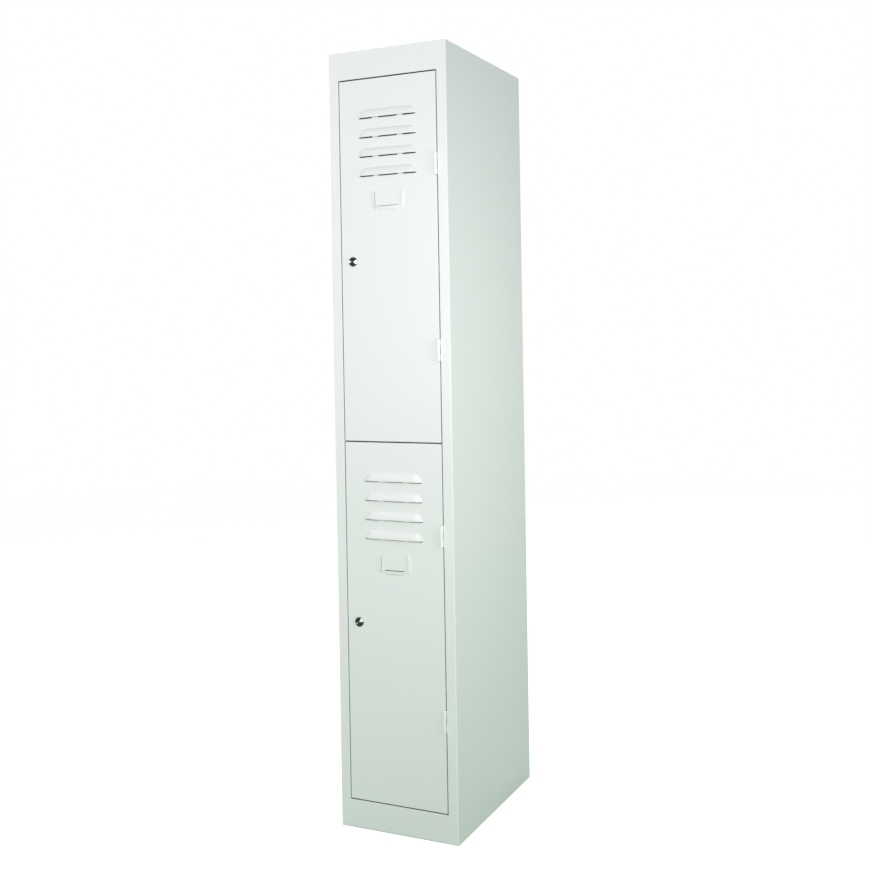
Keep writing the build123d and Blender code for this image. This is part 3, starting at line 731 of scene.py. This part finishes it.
def door_skin(door):
    """Door pan with its louvres and card holder pressed out, its lock hole and its hinge notches."""
    sizes = bpy.context.scene.locker_sizes
    node = door + "_door_skin"
    low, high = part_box(node)
    low = Vector((low.x - sizes.door_side, FRONT, low.z))
    edge = high + Vector((sizes.door_side, 0, -sizes.door_top))
    bm = bmesh.new()
    add_pan(bm, low, edge, sizes.door_lip, sizes.fold_radius, sizes.fold_segments)
    louvre = hood_mesh(sizes.louvre_length, sizes.louvre_height, sizes.louvre_projection, sizes.louvre_gap)
    side_rib = hood_mesh(sizes.side_rib_length, sizes.side_rib_height, sizes.side_rib_projection,
                         sizes.side_rib_gap)
    bottom_rib = hood_mesh(sizes.bottom_rib_length, sizes.rib_height, sizes.rib_projection, sizes.rib_gap)
    for number in range(sizes.louvre_count):
        height = high.z - sizes.louvre_drop - sizes.louvre_pitch * number
        add_copy(bm, louvre, Matrix.Translation((0, FRONT, height)))
    for side in (-1, 1):
        spot = Matrix.Translation((side * sizes.card_width / 2, FRONT, high.z - sizes.side_rib_drop))
        add_copy(bm, side_rib, spot @ Matrix.Rotation(side * math.pi / 2, 4, "Y"))
    spot = Matrix.Translation((0, FRONT, high.z - sizes.bottom_rib_drop))
    add_copy(bm, bottom_rib, spot @ Matrix.Rotation(math.pi, 4, "Y"))
    lock_low, lock_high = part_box(door + "_lock_body")
    axis = (lock_low + lock_high) / 2
    facing = Matrix.Translation((axis.x, FRONT, axis.z)) @ Matrix.Rotation(math.pi / 2, 4, "X")
    bmesh.ops.create_circle(bm, cap_ends=False, segments=48, radius=sizes.lock_hole, matrix=facing)
    rims = [edge for edge in bm.edges if len(edge.link_faces) < 2
            and all(abs(vert.co.y - FRONT) < NEAR for vert in edge.verts)]
    filled = bmesh.ops.triangle_fill(bm, use_beauty=True, use_dissolve=False, edges=closed_loops(rims),
                                     normal=FRONTWARD)
    if not faces_of(filled["geom"]):
        raise RuntimeError("the skin of the " + door + " door could not be filled")
    for face in faces_of(filled["geom"]):
        face.normal_update()
        if face.normal.y > 0:
            face.normal_flip()
    for end in ("bottom", "top"):
        knuckle_low, knuckle_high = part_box(door + "_door_" + end + "_hinge_frame_leaf")
        room = sizes.notch_clearance
        cut_box(bm, (knuckle_low.x - room, knuckle_low.y - room, knuckle_low.z - room),
                (edge.x + room, knuckle_high.y + room, knuckle_high.z + room))
    for mesh in (louvre, side_rib, bottom_rib):
        bpy.data.meshes.remove(mesh)
    return finish_piece(door + "_door_pressing", bm, door + "_door", node, "Powder coat, shade painted in gaps",
                        sizes.sheet)


def lock_case(door):
    """A lock's turned case: a head faced with fine grooves, the barrel behind it and the plug's bore."""
    sizes = bpy.context.scene.locker_sizes
    low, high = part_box(door + "_lock_body")
    plug_low, plug_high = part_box(door + "_lock_plug")
    axis = (low + high) / 2
    head = (high.x - low.x) / 2
    bore = (plug_high.x - plug_low.x) / 2 + sizes.plug_clearance
    barrel = sizes.lock_hole - sizes.barrel_clearance
    inner = bore + sizes.head_rim / 2
    outer = head - sizes.head_rim
    groove_facets = 8
    steps = groove_facets * sizes.head_grooves
    face = [(inner + (outer - inner) * step / steps,
             low.y + sizes.groove_depth * (1 - math.cos(2 * math.pi * sizes.head_grooves * step / steps)) / 2)
            for step in range(steps + 1)]
    outline = [(bore, high.y), (bore, low.y), *face, (head, low.y), (head, FRONT), (barrel, FRONT),
               (barrel, high.y)]
    bm = bmesh.new()
    line = [bm.verts.new((axis.x + radius, y, axis.z)) for radius, y in outline]
    for pair in zip(line, [*line[1:], line[0]]):
        bm.edges.new(pair)
    corner = line[-4]
    bmesh.ops.bevel(bm, geom=[corner, *corner.link_edges], offset=sizes.head_rim * ALMOST,
                    offset_type="OFFSET", segments=5, profile=0.5, affect="VERTICES", material=-1)
    bmesh.ops.spin(bm, geom=[*bm.verts, *bm.edges], cent=(axis.x, 0, axis.z), axis=(0, 1, 0), dvec=(0, 0, 0),
                   angle=2 * math.pi, steps=72, use_merge=True)
    bmesh.ops.remove_doubles(bm, verts=bm.verts, dist=NEAR)
    bmesh.ops.recalc_face_normals(bm, faces=bm.faces)
    return finish_piece(door + "_lock_case", bm, door + "_door", door + "_lock_body",
                        door.capitalize() + " lock metal")


def rivet_mesh(head, depth, sheet):
    """A round-headed rivet on the Y axis, its head inside and its clenched end just proud behind."""
    bm = bmesh.new()
    shank = head / 2
    # The domed head: radius in parts of the head's radius, place in parts of its depth.
    dome = [(0, -1.1), (0.55, -1.05), (0.9, -0.75), (1, -0.2), (1, 0)]
    # Shank and clenched end: radius in parts of the shank's radius, place in thicknesses of sheet.
    clench = [(1, 0), (1, 2), (1.35, 2), (1.2, 2.3), (0.5, 2.35), (0.35, 2.1), (0, 2.1)]
    points = [Vector((part * head, place * depth, 0)) for part, place in dome]
    points += [Vector((part * shank, place * sheet, 0)) for part, place in clench]
    line = [bm.verts.new(point) for point in points]
    edges = [bm.edges.new(pair) for pair in zip(line, line[1:])]
    bmesh.ops.spin(bm, geom=[*line, *edges], cent=(0, 0, 0), axis=(0, 1, 0), dvec=(0, 0, 0),
                   angle=2 * math.pi, steps=20, use_merge=True)
    bmesh.ops.remove_doubles(bm, verts=bm.verts, dist=NEAR)
    bmesh.ops.recalc_face_normals(bm, faces=bm.faces)
    mesh = bpy.data.meshes.new("rivet")
    bm.to_mesh(mesh)
    bm.free()
    return mesh


class LOCKER_OT_finishes(bpy.types.Operator):
    """Make the paint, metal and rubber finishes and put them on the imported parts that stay"""

    bl_idname = "locker.finishes"
    bl_label = "Finishes"

    def execute(self, context):
        tones = context.scene.locker_finish
        powder_coat("Powder coat", tones.paint, tones.paint_shade, tones.paint_roughness,
                    corner_highlight=tones.corner_highlight)
        # Painted shade inside the doors' stiffening channels, which the louvre slots look into.
        channel_side = context.scene.locker_sizes.channel_side
        channel_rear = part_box("upper_door_stiffener")[1].y
        powder_coat("Powder coat, shade painted in channels", tones.paint, tones.paint_shade, tones.paint_roughness,
                    tones.painted_shade, channel=(channel_side, channel_rear))
        # Hinges and rivets take a smoother, lighter copy of the paint; the lighter colour is painted light.
        smoother = 0.08
        powder_coat("Hinge paint", tones.hinge_paint, tones.paint, tones.paint_roughness - smoother)
        # Doors, rails and middle shelf take painted shade in their gaps.
        powder_coat("Powder coat, shade painted in gaps", tones.paint, tones.paint_shade, tones.paint_roughness,
                    tones.painted_shade)
        # Each lock's painted highlight points its own way, to where the lamps' reflection falls on it.
        for door, turn in (("upper", math.radians(-4)), ("lower", math.radians(32))):
            low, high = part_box(door + "_lock_body")
            turned_metal(door.capitalize() + " lock metal", tones.lock, tones.lock_highlight_tone, roughness=0.14,
                         centre=(low + high) / 2, turn=turn)
        plated_metal("Zinc plate", tones.zinc, roughness=0.3, grain=900.0)
        plated_metal("Wafer brass", tones.brass, roughness=0.28, grain=1200.0)
        moulded_rubber("Buffer rubber", tones.rubber)
        for name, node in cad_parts.items():
            finish = self.finish_for(name)
            if not node.material_slots:
                raise RuntimeError(name + " has no material slot")
            for holder in node.material_slots:
                holder.material = material_named(finish)
        return {"FINISHED"}

    def finish_for(self, name):
        """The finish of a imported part, by what it is."""
        if name.endswith(("lock_body", "lock_plug")):
            return name.split("_")[0].capitalize() + " lock metal"
        if name.endswith("lock_wafers"):
            return "Wafer brass"
        if name.endswith(("lock_nut", "lock_cam", "cam_screw", "coat_hook", "hook_rivets")):
            return "Zinc plate"
        if name == "door_buffers":
            return "Buffer rubber"
        if name.endswith(("leaf", "pin", "rivets")):
            return "Hinge paint"
        if name.endswith("stiffener"):
            return "Powder coat, shade painted in channels"
        if name == "middle_shelf":
            return "Powder coat, shade painted in gaps"
        return "Powder coat"


class LOCKER_OT_side_panels(bpy.types.Operator):
    """Fold both side panels with their stiles, jambs and flanges"""

    bl_idname = "locker.side_panels"
    bl_label = "Side panels"

    def execute(self, context):
        side_panel("left_side_sheet", False)
        side_panel("right_side_sheet", True)
        return {"FINISHED"}


class LOCKER_OT_front_rails(bpy.types.Operator):
    """Fold the header rail and the kick plate"""

    bl_idname = "locker.front_rails"
    bl_label = "Header and kick plate"

    def execute(self, context):
        sizes = context.scene.locker_sizes
        radius = sizes.fold_radius
        inner = radius - sizes.sheet
        stop = FRONT + sizes.jamb_depth
        flange = FRONT + sizes.stop_flange
        opening_top = SIDE_TOP + sizes.sheet - sizes.header_height
        header = [(stop, opening_top - sizes.stop_flange), (stop, opening_top), (FRONT, opening_top),
                  (FRONT, SIDE_TOP), (flange, SIDE_TOP)]
        front_rail("header_fold", header, (inner, radius, 0), "header_rail")
        kick = [(flange, 0), (FRONT, 0), (FRONT, sizes.kick_height), (stop, sizes.kick_height),
                (stop, sizes.kick_height + sizes.stop_flange)]
        front_rail("kick_fold", kick, (sizes.foot_fold, radius, inner), "kick_plate")
        return {"FINISHED"}


class LOCKER_OT_doors(bpy.types.Operator):
    """Press and fold both door skins"""

    bl_idname = "locker.doors"
    bl_label = "Door skins"

    def execute(self, context):
        for door in ("upper", "lower"):
            door_skin(door)
        return {"FINISHED"}


class LOCKER_OT_lock_cases(bpy.types.Operator):
    """Turn the case of both locks"""

    bl_idname = "locker.lock_cases"
    bl_label = "Lock cases"

    def execute(self, context):
        for door in ("upper", "lower"):
            lock_case(door)
        return {"FINISHED"}


class LOCKER_OT_rivets(bpy.types.Operator):
    """Set the rivets along both edges of the back panel"""

    bl_idname = "locker.rivets"
    bl_label = "Back panel rivets"

    def execute(self, context):
        sizes = context.scene.locker_sizes
        low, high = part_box("back_panel_rivets")
        rows = sizes.rivet_rows
        depth = high.y - low.y - 2 * sizes.sheet
        rivet = rivet_mesh(sizes.rivet_head, depth, sizes.sheet)
        bm = bmesh.new()
        reach = high.x - sizes.rivet_head
        first = low.z + sizes.rivet_head
        step = (high.z - low.z - 2 * sizes.rivet_head) / (rows - 1)
        for side in (-1, 1):
            for row in range(rows):
                place = (side * reach, high.y - 2 * sizes.sheet, first + step * row)
                add_copy(bm, rivet, Matrix.Translation(place))
        bpy.data.meshes.remove(rivet)
        finish_piece("back_rivet_heads", bm, "cabinet", "back_panel_rivets", "Hinge paint")
        return {"FINISHED"}


def aim(place, target):
    """Matrix of a lamp at a place that points at a target."""
    direction = Vector(target) - Vector(place)
    return Matrix.Translation(place) @ direction.to_track_quat("-Z", "Y").to_matrix().to_4x4()


def add_lamp(name, place, target, side, power, tint):
    """A square lamp that the camera doesn't see."""
    lamp = bpy.data.lights.new(name, "AREA")
    lamp.shape = "SQUARE"
    lamp.size = side
    lamp.energy = power
    lamp.color = tint
    holder = bpy.data.objects.new(name, lamp)
    holder.matrix_world = aim(place, target)
    holder.visible_camera = False
    bpy.context.scene.collection.objects.link(holder)


class LOCKER_OT_studio(bpy.types.Operator):
    """Set up the camera, the soft lamps, the pale floor and the white background"""

    bl_idname = "locker.studio"
    bl_label = "Studio"

    def execute(self, context):
        studio = context.scene.locker_studio
        self.add_camera(context.scene, studio)
        self.add_floor(studio)
        self.add_world(context.scene, studio)
        add_lamp(name="Key lamp", place=(-0.3, -2.4, 1.4), target=(0, -0.2, 1.35), side=1.0,
                 power=studio.key_power, tint=studio.key_colour)
        add_lamp(name="Side lamp", place=(1.45, -0.48, 1.15), target=(0.15, 0, 1.1), side=0.6,
                 power=studio.side_power, tint=studio.side_colour)
        add_lamp(name="Top lamp", place=(-0.2, -1.5, 2.6), target=(0, -0.2, 1.2), side=0.8,
                 power=studio.top_power, tint=(1, 1, 1))
        add_lamp(name="Rear lamp", place=(-2.3, 2.4, 2.6), target=(0, 0.1, 1.0), side=1.6,
                 power=studio.rear_power, tint=studio.rear_colour)
        context.scene.view_settings.view_transform = "Standard"
        return {"FINISHED"}

    def add_camera(self, scene, studio):
        """The photograph's own viewpoint, worked out from the corners of the body."""
        yaw, pitch, roll = studio.camera_turn
        ahead = Vector((math.sin(yaw) * math.cos(pitch), math.cos(yaw) * math.cos(pitch), math.sin(pitch)))
        level = Vector((math.cos(yaw), -math.sin(yaw), 0))
        upright = level.cross(ahead)
        across = level * math.cos(roll) + upright * math.sin(roll)
        upright = upright * math.cos(roll) - level * math.sin(roll)
        lens = bpy.data.cameras.new("Camera")
        lens.sensor_width = 36
        lens.lens = studio.focal_length
        lens.shift_x, lens.shift_y = studio.camera_shift
        lens.dof.use_dof = False
        holder = bpy.data.objects.new("Camera", lens)
        turn = Matrix((across, upright, -ahead)).transposed().to_4x4()
        holder.matrix_world = Matrix.Translation(studio.camera_place) @ turn
        scene.collection.objects.link(holder)
        scene.camera = holder

    def add_floor(self, studio):
        """Pale floor that shows as white where nothing shades it."""
        bm = bmesh.new()
        bmesh.ops.create_circle(bm, cap_ends=True, segments=64, radius=studio.floor_radius)
        mesh = bpy.data.meshes.new("Studio floor")
        bm.to_mesh(mesh)
        bm.free()
        floor = bpy.data.objects.new("Studio floor", mesh)
        bpy.context.scene.collection.objects.link(floor)
        cover = Finish(bpy.data.materials.new("Studio floor"))
        seen = cover.seen_directly()
        cover.surface(
            Base_Color=colour(studio.floor_colour), Roughness=0.9, Specular_IOR_Level=0.1,
            Emission_Color=cover.blend(seen, (0, 0, 0, 1), colour([studio.floor_lift] * 3)),
            Emission_Strength=1.0)
        mesh.materials.append(cover.owner)

    def add_world(self, scene, studio):
        """Even light all round, white to the camera and in reflections."""
        world = bpy.data.worlds.new("Studio")
        scene.world = world
        sky = Finish(world)
        seen = sky.seen_directly()
        tint = sky.blend(seen, colour(studio.ambient_colour), (1, 1, 1, 1))
        light = sky.add("ShaderNodeBackground", {}, {
            "Color": tint, "Strength": studio.ambient + seen * (1 - studio.ambient)})
        sky.add("ShaderNodeOutputWorld", {}, {"Surface": light})


class LOCKER_PT_panel(bpy.types.Panel):
    """Steps that build the locker"""

    bl_idname = "LOCKER_PT_panel"
    bl_label = "Locker"
    bl_space_type = "VIEW_3D"
    bl_region_type = "UI"
    bl_category = "Locker"

    def draw(self, context):
        for step in steps:
            self.layout.operator(step.bl_idname)


steps = (
    LOCKER_OT_studio,
    LOCKER_OT_finishes,
    LOCKER_OT_side_panels,
    LOCKER_OT_front_rails,
    LOCKER_OT_doors,
    LOCKER_OT_lock_cases,
    LOCKER_OT_rivets,
)
settings = {"locker_sizes": LockerSizes, "locker_finish": LockerFinish, "locker_studio": LockerStudio}


def register():
    for group in settings.values():
        bpy.utils.register_class(group)
    for name, group in settings.items():
        setattr(bpy.types.Scene, name, PointerProperty(type=group))
    for step in (*steps, LOCKER_PT_panel):
        bpy.utils.register_class(step)


def unregister():
    for step in (LOCKER_PT_panel, *reversed(steps)):
        bpy.utils.unregister_class(step)
    for name, group in settings.items():
        delattr(bpy.types.Scene, name)
        bpy.utils.unregister_class(group)


def main():
    """Builds the locker step by step."""
    register()
    for step in steps:
        family, action = step.bl_idname.split(".")
        getattr(getattr(bpy.ops, family), action)()


if __name__ == "__main__":
    main()
